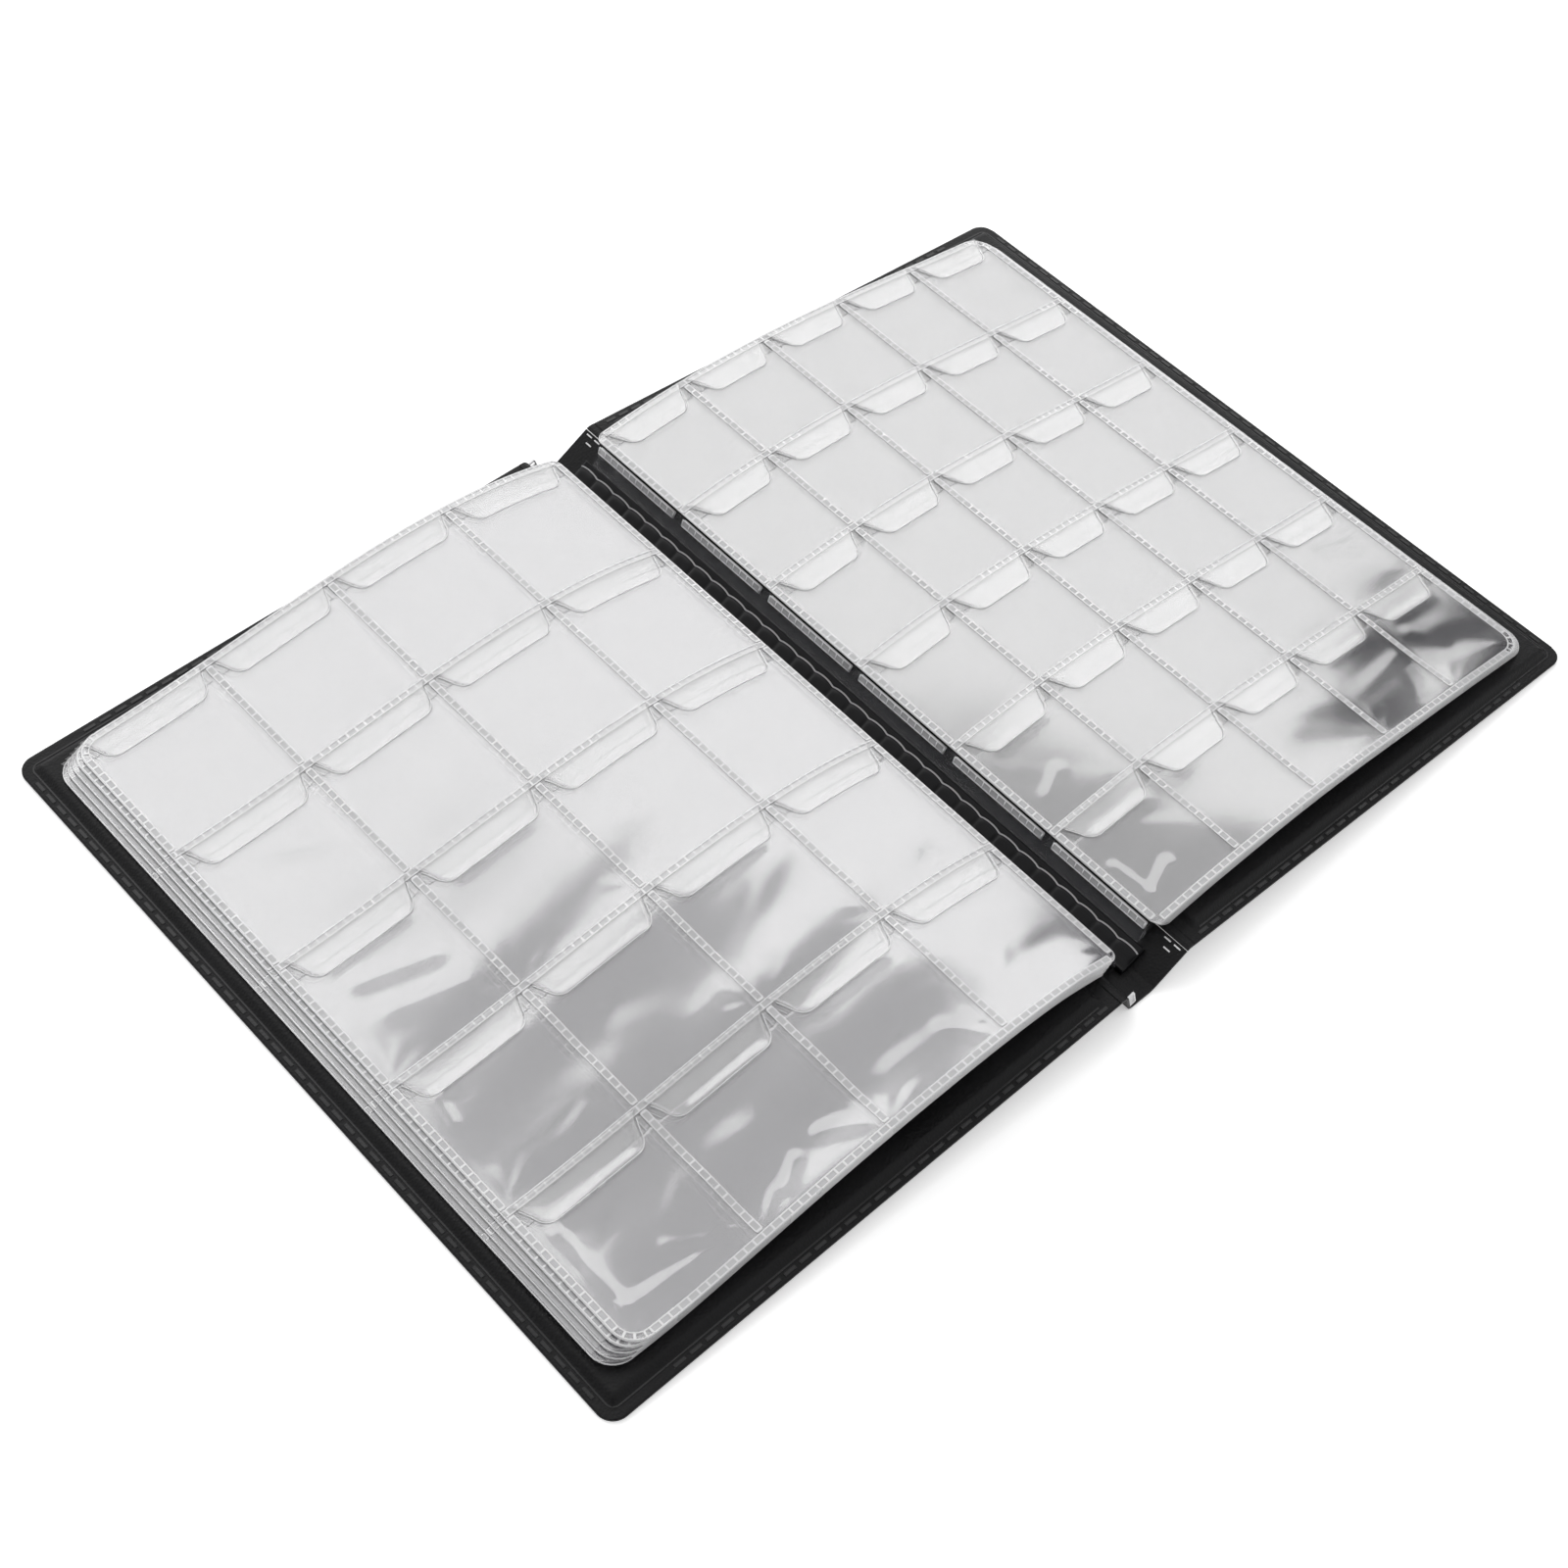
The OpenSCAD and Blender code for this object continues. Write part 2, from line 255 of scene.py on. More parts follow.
def shell(top, bottom, kept=None):
    """Closed thin solid between two grids of points. kept marks the squares that hold film."""
    nu, nv = top.shape[:2]
    if kept is None:
        kept = np.ones((nu - 1, nv - 1), bool)
    index = np.arange(nu * nv).reshape(nu, nv)
    a, b, c, d = index[:-1, :-1], index[1:, :-1], index[1:, 1:], index[:-1, 1:]
    upper = np.stack([a, b, c, d], -1)[kept]
    lower = np.stack([d, c, b, a], -1)[kept] + nu * nv
    sides = []
    wide = np.zeros((nu + 1, nv + 1), bool)
    wide[1:-1, 1:-1] = kept
    edges = (
        (wide[1:-1, 1:-1] & ~wide[:-2, 1:-1], d, a),
        (wide[1:-1, 1:-1] & ~wide[2:, 1:-1], b, c),
        (wide[1:-1, 1:-1] & ~wide[1:-1, :-2], a, b),
        (wide[1:-1, 1:-1] & ~wide[1:-1, 2:], c, d),
    )
    for open_side, p, q in edges:
        p, q = p[open_side], q[open_side]
        sides.append(np.stack([q, p, p + nu * nv, q + nu * nv], -1))
    faces = np.concatenate([upper, lower, *sides])
    points = np.concatenate([top.reshape(-1, 3), bottom.reshape(-1, 3)])
    used, compact = np.unique(faces, return_inverse=True)
    return points[used], compact.reshape(faces.shape)


def ticks(breaks, step):
    """Grid lines that pass through every break, about a step apart."""
    values = []
    for low, high in zip(breaks[:-1], breaks[1:]):
        count = max(1, round((high - low) / step))
        values += [low + (high - low) * k / count for k in range(count)]
    return np.array(values + [breaks[-1]])


def smooth_step(t):
    t = np.clip(t, 0, 1)
    return t * t * (3 - 2 * t)


def join_parts(parts):
    """One list of points and faces from several."""
    points, faces, start = [], [], 0
    for p, f in parts:
        points.append(np.asarray(p))
        faces += [tuple(int(i) + start for i in face) for face in f]
        start += len(p)
    return np.concatenate(points), faces


def path_normals(path):
    """Unit vectors square to a plane path, on its left."""
    ahead = np.gradient(path, axis=0)
    ahead /= np.linalg.norm(ahead, axis=1)[:, None]
    return np.stack([-ahead[:, 1], ahead[:, 0]], 1)


def path_run(path):
    """Length along a path up to each of its points."""
    return np.concatenate([[0], np.cumsum(np.linalg.norm(np.diff(path, axis=0), axis=1))])


def ridges(lines, half, low, high, lift, crown=0.7):
    """Low raised lines with sloping sides, along (n, 2) plan paths. lift gives their points' places."""
    profile = ((-half, low), (-half * crown, high), (half * crown, high), (half, low))
    parts = []
    for line in lines:
        line = np.asarray(line, float)
        beside = path_normals(line)
        rows = [lift(line + beside * offset, height) for offset, height in profile]
        points = np.stack(rows, 1)
        n, m = points.shape[:2]
        index = np.arange(n * m).reshape(n, m)
        faces = []
        for k in range(m):
            a, b = index[:, k], index[:, (k + 1) % m]
            faces += list(zip(a[:-1], b[:-1], b[1:], a[1:]))
        faces.append(tuple(index[0][::-1]))
        faces.append(tuple(index[-1]))
        parts.append((points.reshape(-1, 3), faces))
    return join_parts(parts)


# ---- leaves ----


def bump_shape(t, skew):
    peak = 1 / (1 + skew)
    t = np.clip(t, 0, 1)
    return t * (1 - t) ** skew / (peak * (1 - peak) ** skew)


# Slow rolls of the leaves. waves: height, length along y, length along x and phase of each sine.
# film: height, where it starts down the page, over what stretch, and the stretch at the outer edge.
# outer: height, start and stretch down the page, and width of the curl of the outer edge.
# near: height, width, mean, length and phase of the curl of the near edge.
ROLLS = {
    LEFT: {
        "waves": ((0.5, 4.6, 60.0, 0.6), (0.35, 7.3, -26.0, 2.0), (0.25, 3.3, 17.0, 4.0)),
        "film": (0.26, 0.38, 0.3, 0.25),
        "outer": (1.1, 0.72, 0.25, 12.0),
        "near": (0.8, 8.0, 0.45, 15.0, 1.0),
    },
    RIGHT: {
        "waves": ((0.5, 6.1, -21.0, 1.4), (0.3, 3.9, 14.0, 0.3)),
        "film": (0.1, 0.62, 0.3, 0.2),
        "outer": (0.12, 0.8, 0.2, 14.0),
        "near": (0.5, 7.0, 0.4, 12.0, 2.4),
    },
}
ROLL_MEAN, ROLL_LIFT, NEAR_SWING, ROOT_REACH, ROLL_END = 0.5, 0.6, 0.4, 22.0, 1.02


def roll(side, x, y):
    """Slow rolls that all the leaves of a side share, strongest towards the near outer corner."""
    made = ROLLS[side]
    down, out = (LEAF_L / 2 - y) / LEAF_L, x / LEAF_W
    waves = ROLL_MEAN
    for rise, long, wide, turn in made["waves"]:
        waves = waves + rise * np.sin(y / long + x / wide + turn)
    rise, start, stretch, edge = made["film"]
    amount = rise * smooth_step((down - start) / stretch) * smooth_step((ROLL_END - out) / edge)
    rise, start, stretch, width = made["outer"]
    curl_out = rise * smooth_step((down - start) / stretch) * np.exp(-(((LEAF_W - x) / width) ** 2))
    rise, width, mean, length, turn = made["near"]
    swing = mean + NEAR_SWING * np.sin(x / length + turn)
    curl_near = rise * np.exp(-(((y + LEAF_L / 2) / width) ** 2)) * swing
    return smooth_step(x / ROOT_REACH) * (amount * np.maximum(waves + ROLL_LIFT, 0) + curl_out + curl_near)


def crease_height(x, y, x0, y0, x1, y1, width, rise):
    """Height of a soft fold along a line in a pocket."""
    dx, dy = x1 - x0, y1 - y0
    k = np.clip(((x - x0) * dx + (y - y0) * dy) / (dx * dx + dy * dy), 0, 1)
    away = np.hypot(x - x0 - k * dx, y - y0 - k * dy)
    return rise * np.exp(-((away / width) ** 2))


# Relief of a pocket film: its slow pillow, the lip under its flap, and the folds that fan from its corners
PILLOW, LIP_RISE, LIP_WIDTH = 0.07, 0.34, 2.2
FAN_FOLDS, FAN_REACH, FAN_WIDTH = 9, 7, 4.5
SWELL_LIMITS = (-0.02, 0.85)

# How far the flaps stand up, and how wrinkled the films are, in each pocket column
LIPS = {LEFT: (0.15, 0.8, 1.0, 1.0), RIGHT: (0.8, 0.3, 0.2, 0.2, 0.2)}
CALM_COLS = {LEFT: (0.3, 0.8, 1.0, 1.0), RIGHT: (0.8, 0.4, 0.4, 0.8, 1.0)}

# Folds of the top leaves, by pocket column and row: ends of the fold, its width and height
CREASES = {
    LEFT: {
        (3, 4): ((36.5, 13, 37, 38.5, 1.7, 0.5), (37, 38.5, 15, 40.5, 2.0, 0.5), (20, 33, 12, 38, 2.2, 0.3)),
        (3, 3): ((35.5, 11, 37, 20, 1.5, 0.3),),
        (2, 4): ((6, 40, 15, 36, 2.2, 0.35), (30, 41, 24, 37, 1.8, 0.3)),
        (1, 4): ((8, 41, 14, 36, 2.0, 0.3),),
        (3, 1): ((26, 20, 14, 27, 2.6, -0.16),),
        (3, 2): ((28, 30, 12, 35, 3.0, 0.26), (30, 18, 12, 24, 2.4, 0.2)),
    },
    RIGHT: {
        (0, 5): ((4.5, 20, 5.5, 33, 1.6, 0.55), (5.5, 33, 16, 29, 2.0, 0.5)),
        (0, 4): ((8, 30, 16, 26, 2.0, 0.2),),
        (4, 4): ((14, 18, 24, 22, 3.6, -0.16),),
        (3, 5): ((24, 35, 29, 26, 3.2, -0.16),),
        (4, 5): ((14, 24, 9, 16, 2.4, 0.08),),
    },
}


class Leaf:
    """One pocket leaf. x runs from its inner end to its outer edge, y along the spine."""

    def __init__(self, side, number):
        self.side, self.number = side, number
        self.name = f"{SIDES[side]}_leaf_{number}"
        self.top = number == 1
        self.cols, self.rows = COLS[side], ROWS[side]
        self.width = LEAF_W + SLIDE[side] * (number - 1)
        self.px = (self.width - WELD) / self.cols
        self.py = (LEAF_L - WELD) / self.rows
        self.end_x = INNER_X + SHIFT * (number - 1)
        self.random = np.random.default_rng(number * 10 + side)
        self.depth = 1.0 if self.top else 0.35
        self.calm = 0.3 if side == LEFT else 0.7
        self.fold = 1.0 if side == LEFT else 0.25
        self.step = 1.0 if self.top else 2.4
        self.creases = CREASES[side] if self.top else {}
        self.streaks = [
            [self.cell_streaks(c, r) for r in range(self.rows)] for c in range(self.cols)
        ]

    def unrest(self, c, r):
        """How wrinkled a pocket is: the lower rows lie least flat."""
        down = r / (self.rows - 1)
        return (0.04 + (0.96 * down**1.9 if self.side == LEFT else 0.5 * down**5)) * CALM_COLS[self.side][c]

    def cell_streaks(self, c, r):
        made = []
        for _ in range(4):
            angle = self.random.uniform(-0.5, 0.9)
            made.append((
                self.random.uniform(0.15, 0.85) * self.px,
                self.random.uniform(0.35, 0.95) * self.py,
                angle,
                self.random.uniform(9, 20),
                self.random.uniform(2.4, 5.0),
                self.random.uniform(-0.2, 0.28) * self.unrest(c, r),
            ))
        return made

    def surface(self, x, y):
        t = x / LEAF_W
        return (
            INNER_Z + (OUTER_Z - INNER_Z) * t
            + ARCH[self.side] * bump_shape(t, SKEW[self.side])
            + STEP * (LEAVES - self.number)
            + roll(self.side, x, y)
        )

    def swell(self, x, y):
        """How far the pocket film stands off the back film, in its pockets."""
        c = np.clip(np.floor((x - WELD / 2) / self.px), 0, self.cols - 1)
        down = LEAF_L / 2 - y
        r = np.clip(np.floor((down - WELD / 2) / self.py), 0, self.rows - 1)
        cx, cy = x - c * self.px, down - r * self.py
        u = np.clip((cx - WELD) / (self.px - WELD), 0, 1)
        v = np.clip((cy - WELD) / (self.py - WELD), 0, 1)
        flat = 16 * u * (1 - u) * v * (1 - v)
        lip = smooth_step((u - 0.08) / 0.16) * smooth_step((0.92 - u) / 0.16)
        below = r / (self.rows - 1)
        lip *= 0.14 + 0.86 * smooth_step((below - self.calm) / (1 - self.calm))
        lip *= np.array(LIPS[self.side])[c.astype(int)]
        height = PILLOW * flat
        height += LIP_RISE * lip * np.exp(-(((cy - FLAP_H + 0.2) / LIP_WIDTH) ** 2))
        wave = np.zeros_like(height)
        for ci in range(self.cols):
            for ri in range(self.rows):
                here = (c == ci) & (r == ri)
                if not here.any():
                    continue
                hx, hy = cx[here], cy[here]
                total = np.zeros_like(hx)
                for sx, sy, angle, length, width, rise in self.streaks[ci][ri]:
                    along = (hx - sx) * math.cos(angle) + (hy - sy) * math.sin(angle)
                    across = (hy - sy) * math.cos(angle) - (hx - sx) * math.sin(angle)
                    total += rise * np.exp(-((along / length) ** 2) - (across / width) ** 2)
                amount = self.unrest(ci, ri)
                for kx, ky in ((0, 1), (1, 1), (0, 0), (1, 0)):
                    dx, dy = hx - kx * self.px, hy - ky * self.py
                    far = np.hypot(dx, dy)
                    turn = np.arctan2(dy, dx)
                    fold = np.cos(turn * FAN_FOLDS + ci * 2.3 + ri * 1.7 + self.side)
                    rise = self.fold * (0.03 + 0.1 * ky) * amount
                    total += rise * fold * np.exp(-(((far - FAN_REACH) / FAN_WIDTH) ** 2))
                for crease in self.creases.get((ci, ri), ()):
                    total += crease_height(hx, hy, *crease)
                wave[here] = total
        edge = smooth_step(u / 0.09) * smooth_step((1 - u) / 0.09)
        edge = edge * smooth_step(v / 0.07) * smooth_step((1 - v) / 0.07)
        return self.depth * (height + wave * edge).clip(*SWELL_LIMITS) * (u > 0) * (u < 1)

    def place(self, x, y, height):
        """Points in the row's frame, a height above the leaf's underside."""
        return np.stack([self.side * (self.end_x + x), y, self.surface(x, y) + height], -1)

    def lift(self, line, height):
        return self.place(line[:, 0], line[:, 1], np.full(len(line), height))

    def grid(self):
        xs = [0.0]
        for c in range(self.cols):
            xs += [c * self.px + WELD, (c + 1) * self.px]
        xs += [self.width - LEAF_R, self.width]
        ys = [LEAF_L / 2]
        for r in range(self.rows):
            top = LEAF_L / 2 - r * self.py
            ys += [top - WELD, top - MOUTH, top - self.py]
        for radius in (LEAF_R, INNER_R):
            ys += [LEAF_L / 2 - radius, radius - LEAF_L / 2]
        ys.append(-LEAF_L / 2)
        xs = ticks(sorted(set(round(v, 4) for v in xs)), self.step)
        turn = np.sin(np.linspace(0.3, math.pi / 2, 14 if self.top else 8))
        corners = [self.width - LEAF_R * (1 - turn), INNER_R * (1 - turn)]
        xs = np.unique(np.round(np.concatenate([xs, *corners]), 4))
        ys = ticks(sorted(set(round(v, 4) for v in ys)), self.step)
        x, y = np.meshgrid(xs, ys, indexing="ij")
        return x, y

    def rounded(self, x, y):
        """Draws the grid in at the four corners."""
        for radius, away in ((LEAF_R, x - (self.width - LEAF_R)), (INNER_R, INNER_R - x)):
            straight = LEAF_L / 2 - radius
            over = np.clip(away, 0, radius * 0.9999)
            reach = np.sqrt(radius**2 - over**2) / radius
            drawn = np.sign(y) * (straight + (np.abs(y) - straight) * np.maximum(reach, 0.03))
            y = np.where((np.abs(y) > straight) & (over > 0), drawn, y)
        return y

    def film(self, low, thick, kept=None, swell=False):
        x, y = self.grid()
        plan_y = self.rounded(x, y)
        rise = self.swell(x, plan_y) if swell else np.zeros_like(x)
        top = self.place(x, plan_y, low + thick + rise)
        bottom = self.place(x, plan_y, low + rise)
        if self.side == LEFT:
            top, bottom = top[:, ::-1], bottom[:, ::-1]
            kept = None if kept is None else kept[:, ::-1]
        return shell(top, bottom, kept)

    def mouths_cut(self):
        x, y = self.grid()
        mx, my = (x[:-1, :-1] + x[1:, 1:]) / 2, (y[:-1, :-1] + y[1:, 1:]) / 2
        in_column = ((mx - WELD) % self.px) < self.px - WELD
        down = (LEAF_L / 2 - my) % self.py
        return ~(in_column & (mx > WELD) & (down > WELD) & (down < MOUTH) & (mx < self.width - WELD))

    def flap_half(self, v):
        """Half the width of a flap, v of the way down: sloping sides and round lower corners."""
        wide = self.px / 2 - 1.0
        narrow = wide - (3.6 if self.side == LEFT else 4.3)
        corner = 3.4
        turned = np.clip((v - 1 + corner / FLAP_H) * FLAP_H / corner, 0, 1)
        return narrow + (wide - narrow) * (1 - v) ** 1.6 - corner * (1 - np.sqrt(1 - 0.985 * turned**2))

    def flap_outline(self, c, r, v):
        """Middle, half width and place down the page of a flap, v of the way down it."""
        above = 0.5
        y = LEAF_L / 2 - r * self.py - above - (FLAP_H - above) * v
        return c * self.px + (self.px + WELD) / 2, self.flap_half(v), y

    def flap_film(self):
        """Flaps that hang from each row line."""
        parts = []
        n_u, n_v = (26, 20) if self.top else (12, 12)
        for c in range(self.cols):
            for r in range(self.rows):
                v = np.sin(np.linspace(0, 1, n_v) * math.pi / 2)
                centre, half, y = self.flap_outline(c, r, v)
                x = centre + np.linspace(-1, 1, n_u)[:, None] * half[None, :]
                y = y[None, :] + 0 * x
                rise = FLAP_Z + self.swell(x, y) * smooth_step(v * 3)[None, :]
                top, bottom = self.place(x, y, rise + FLAP_T), self.place(x, y, rise)
                if self.side == RIGHT:
                    top, bottom = top[:, ::-1], bottom[:, ::-1]
                parts.append(shell(top, bottom))
        return join_parts(parts)

    def flap_edges(self):
        """Rolled edge of every flap, drawn in the whitish weld film as a painted highlight."""
        lines = []
        for c in range(self.cols):
            for r in range(self.rows):
                v = np.sin(np.linspace(0.15, 1, 16) * math.pi / 2)
                centre, half, y = self.flap_outline(c, r, v)
                low = np.linspace(-1, 1, 8)[1:-1] * half[-1]
                xs = np.concatenate([centre - half, centre + low, centre + half[::-1]])
                ys = np.concatenate([y, np.full(len(low), y[-1]), y[::-1]])
                lines.append(np.stack([xs, ys], 1))

        def lift(line, height):
            x, y = line[:, 0], line[:, 1]
            return self.place(x, y, height + self.swell(x, y))

        return ridges(lines, 0.15, 0.5, 0.59, lift, crown=0.4)

    def row_line(self, r):
        """Places along x of a row weld, which stops short of the round corners."""
        at_end, edge = r in (0, self.rows), 0.4
        start, outer = (INNER_R, self.width - LEAF_R) if at_end else (edge, self.width - edge)
        return np.linspace(start, outer, round(outer / (3.0 if self.top else 7.0)))

    def weld_ladders(self):
        """Two rails and their rungs along every weld line; only the upper two leaves have them along the
        outer edge, turning with its corners.
        """
        lines, rungs, inset, rung_step = [], [], 0.35, 2.9
        half, corner_x, corner_y = LEAF_L / 2, self.width - LEAF_R, LEAF_L / 2 - LEAF_R
        shows_outer = self.number <= 2
        for c in range(self.cols + shows_outer):
            x0, x1 = c * self.px + inset, c * self.px + WELD - inset
            for r in range(self.rows):
                y_top = half - r * self.py - WELD - 0.5
                y_end = half - (r + 1) * self.py + 0.5
                if c == self.cols:
                    y_top, y_end = min(y_top, corner_y), max(y_end, -corner_y)
                ys = np.linspace(y_top, y_end, 12 if self.top else 6)
                for x in (x0, x1):
                    lines.append(np.stack([np.full_like(ys, x), ys], 1))
                for y in np.linspace(y_top, y_end, round((y_top - y_end) / rung_step) + 1):
                    rungs.append([(x0, y), (x1, y)])
        for r in range(self.rows + 1):
            y0 = half - r * self.py - inset
            y1 = half - r * self.py - WELD + inset
            xs = self.row_line(r)
            for y in (y0, y1):
                lines.append(np.stack([xs, np.full_like(xs, y)], 1))
            for x in np.arange(xs[0], xs[-1], rung_step):
                rungs.append([(x, y0), (x, y1)])
        turn = np.linspace(0, math.pi / 2, 8)
        for end in (-1, 1) if shows_outer else ():
            for reach in (LEAF_R - inset, LEAF_R - WELD + inset):
                arc = (corner_x + reach * np.sin(turn), end * (corner_y + reach * np.cos(turn)))
                lines.append(np.stack(arc, 1))
            for angle in turn[1:-1:2]:
                near, far = LEAF_R - WELD + inset, LEAF_R - inset
                rungs.append([
                    (corner_x + near * math.sin(angle), end * (corner_y + near * math.cos(angle))),
                    (corner_x + far * math.sin(angle), end * (corner_y + far * math.cos(angle))),
                ])
        # rails and rungs take the whitish weld film, partly a painted highlight
        return join_parts([
            ridges(lines, 0.2, 0.4, 0.475, self.lift, crown=0.5),
            ridges(rungs, 0.34, 0.4, 0.5, self.lift, crown=0.6),
        ])

    def weld_beds(self):
        """Flattened film between the rails, in a grey that paints the weld's weaker reflection as a fixed
        level of light and shade.
        """
        lines, middle = [], WELD / 2
        half, corner_y = LEAF_L / 2, LEAF_L / 2 - LEAF_R
        for c in range(self.cols + 1):
            for r in range(self.rows):
                ys = np.linspace(half - r * self.py - WELD, half - (r + 1) * self.py, 8)
                if c == self.cols:
                    ys = np.clip(ys, -corner_y, corner_y)
                lines.append(np.stack([np.full_like(ys, c * self.px + middle), ys], 1))
        for r in range(self.rows + 1):
            xs = self.row_line(r)
            lines.append(np.stack([xs, np.full_like(xs, half - r * self.py - middle)], 1))
        return ridges(lines, middle - 0.4, 0.405, 0.43, self.lift)

    def outline_bead(self):
        """Cut edge of the two films, bright from the whitish weld film, a painted highlight."""
        turn = np.linspace(0, math.pi / 2, 9)
        xs, ys = [], []
        corners = (
            (self.width, 1, LEAF_R, 0), (self.width, -1, LEAF_R, 1),
            (0, -1, INNER_R, 2), (0, 1, INNER_R, 3),
        )
        inside = 0.1
        for x_edge, end, radius, quarter in corners:
            reach = radius - inside
            middle_x = x_edge - radius if x_edge else radius
            angle = math.pi / 2 * (1 - quarter) - turn
            xs.append(middle_x + reach * np.cos(angle))
            ys.append(end * (LEAF_L / 2 - radius) + reach * np.sin(angle))
        path = np.stack([np.concatenate(xs), np.concatenate(ys)], 1)
        path = np.concatenate([path, path[:1]])
        run = path_run(path)
        even = np.unique(np.concatenate([run, np.arange(0, run[-1], 4.0)]))
        path = np.stack([np.interp(even, run, path[:, k]) for k in (0, 1)], 1)
        return ridges([path[:-1]], 0.16, 0.1, 0.36, self.lift)

    def build(self):
        # right-hand leaves use the painted-shade film copies and the painted-light flaps
        films = MATERIALS if self.side == LEFT else RIGHT_LIT_AND_SHADED_FILMS
        pockets = self.film(POCKET_Z, POCKET_T, self.mouths_cut(), swell=True)
        sheets = (
            ("back_sheet", "clear_film", "back_film", self.film(0.0, BACK_T)),
            ("pockets", "pocket_film", "pocket_film", pockets),
            ("flap_row", "flap_film", "flaps", self.flap_film()),
        )
        made = [
            add_piece(f"{self.name}_{word}", *mesh, films[slot], slot, self.name, [f"{self.name}_{node}"])
            for word, slot, node, mesh in sheets
        ]
        # ladders, flap edges and cut edges go in the whitish weld film, partly a painted highlight
        welds = join_parts([self.weld_ladders(), self.flap_edges(), self.outline_bead()])
        for word, mesh, film in (("welds", welds, WELD_TONE_AND_HIGHLIGHT_FILM), ("weld_beds", self.weld_beds(), BED_LIGHT_AND_SHADE_FILM)):
            made.append(add_piece(f"{self.name}_{word}", *mesh, film, "pocket_film", self.name, smooth=False))
        for piece in made:
            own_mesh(piece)


# ---- margins and binding ----

LINER_TOP = 0.8
BIND_TOP = 3.0
FLANK_SPAN = np.array((11.1, 7.05))
FLANK_RUN = np.linalg.norm(FLANK_SPAN)
FLANK = FLANK_SPAN / FLANK_RUN
FLANK_UP = np.array((-FLANK[1], FLANK[0]))
FLANK_START = np.array((1.0, 0.5))
BIND_L, BIND_RUN = -3.0, 6.0


def bezier(a, b, c, d, t):
    t = t[:, None]
    return a * (1 - t) ** 3 + 3 * b * t * (1 - t) ** 2 + 3 * c * t**2 * (1 - t) + d * t**3


def section_shell(line, thick, y_values, waves=0.0, phase=0.0):
    """Film with the section line (x, z), drawn along y, a little wavy between its ends."""
    normal = path_normals(line)
    free = np.sin(math.pi * np.linspace(0, 1, len(line)))[:, None]
    along = np.sin(y_values * 0.21 + phase) + 0.6 * np.sin(y_values * 0.47 + 2 * phase)
    wave = waves * free * along[None, :]

    def layer(offset):
        x = line[:, :1] + normal[:, :1] * (offset + wave)
        z = line[:, 1:] + normal[:, 1:] * (offset + wave)
        return np.stack([x, np.broadcast_to(y_values, x.shape), z], -1)

    return layer(thick), layer(0.0)


def root_weld(line):
    """Bed and ladder of the weld along the top of a margin, broken at every row line."""
    down, normal = line[::-1], path_normals(line)[::-1]
    run = path_run(down)

    def lift(path, height):
        x, z = (np.interp(path[:, 0], run, down[:, k] + normal[:, k] * height) for k in (0, 1))
        return np.stack([x, path[:, 1], z], 1)

    lines, beds, pitch = [], [], (LEAF_L - WELD) / ROWS[RIGHT]
    upper, middle, lower, gap = 0.25, 1.3, 2.4, 0.9
    for r in range(ROWS[RIGHT]):
        y0 = LEAF_L / 2 - r * pitch - WELD - gap
        y1 = y0 + WELD - pitch + 2 * gap
        ys = np.linspace(y0, y1, 12)
        lines += [np.stack([np.full_like(ys, rail), ys], 1) for rail in (upper, lower)]
        beds.append(np.stack([np.full_like(ys, middle), ys], 1))
        lines += [[(upper, y), (lower, y)] for y in np.linspace(y0, y1, 13)]
    return ridges(beds, 1.05, 0.2, 0.24, lift), ridges(lines, 0.19, 0.18, 0.34, lift)


def build_margin(side, number):
    up = LEAVES - number
    end_x = INNER_X + SHIFT * (number - 1)
    top = np.array((side * (end_x - 0.35), INNER_Z + 0.05 + (STEP - 0.17) * up))
    t = np.linspace(0, 1, 22)
    if side == LEFT:
        root = np.array((BIND_L - 0.1, LINER_TOP + 0.3 + 0.38 * up))
        line = bezier(root, root + (-0.4, 2.2 + 0.45 * up), top + (3.0 - 0.35 * up, -0.8 - 0.4 * up), top, t)
    else:
        root = FLANK_START + FLANK * (BIND_RUN + 0.1) + FLANK_UP * (LINER_TOP + 0.3 + 0.38 * up)
        line = bezier(root, root + FLANK * 1.6, top + (-2.6 + 0.45 * up, -0.8 - 0.4 * up), top, t)
    reach = LEAF_L / 2 - INNER_R + 0.6
    y = np.linspace(-reach, reach, 115)
    upper, lower = section_shell(line, 0.18, y, 0.03, number * 1.3 + side)
    parts = [shell(upper, lower)]
    if side == RIGHT and number <= 2:
        parts += root_weld(line)
    name = f"{SIDES[side]}_leaf_{number}"
    # right-hand root strips take the dark painted-shade film copy, left-hand ones the ordinary film
    piece = add_piece(
        f"{name}_root_strip", *join_parts(parts),
        MATERIALS["clear_film"] if side == LEFT else ROOT_SHADED_FILM, "clear_film", replaces=[f"{name}_margin"],
    )
    # the root weld's bed and ladder take the pale painted-light films
    if len(parts) > 1:
        piece.data.materials.append(ROOT_BED_LIT_FILM)
        piece.data.materials.append(ROOT_WELD_LIT_FILM)
        kinds = np.repeat([0, 1, 2], [len(f) for _, f in parts])
        piece.data.polygons.foreach_set("material_index", kinds.astype(np.int32))
    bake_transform(piece)


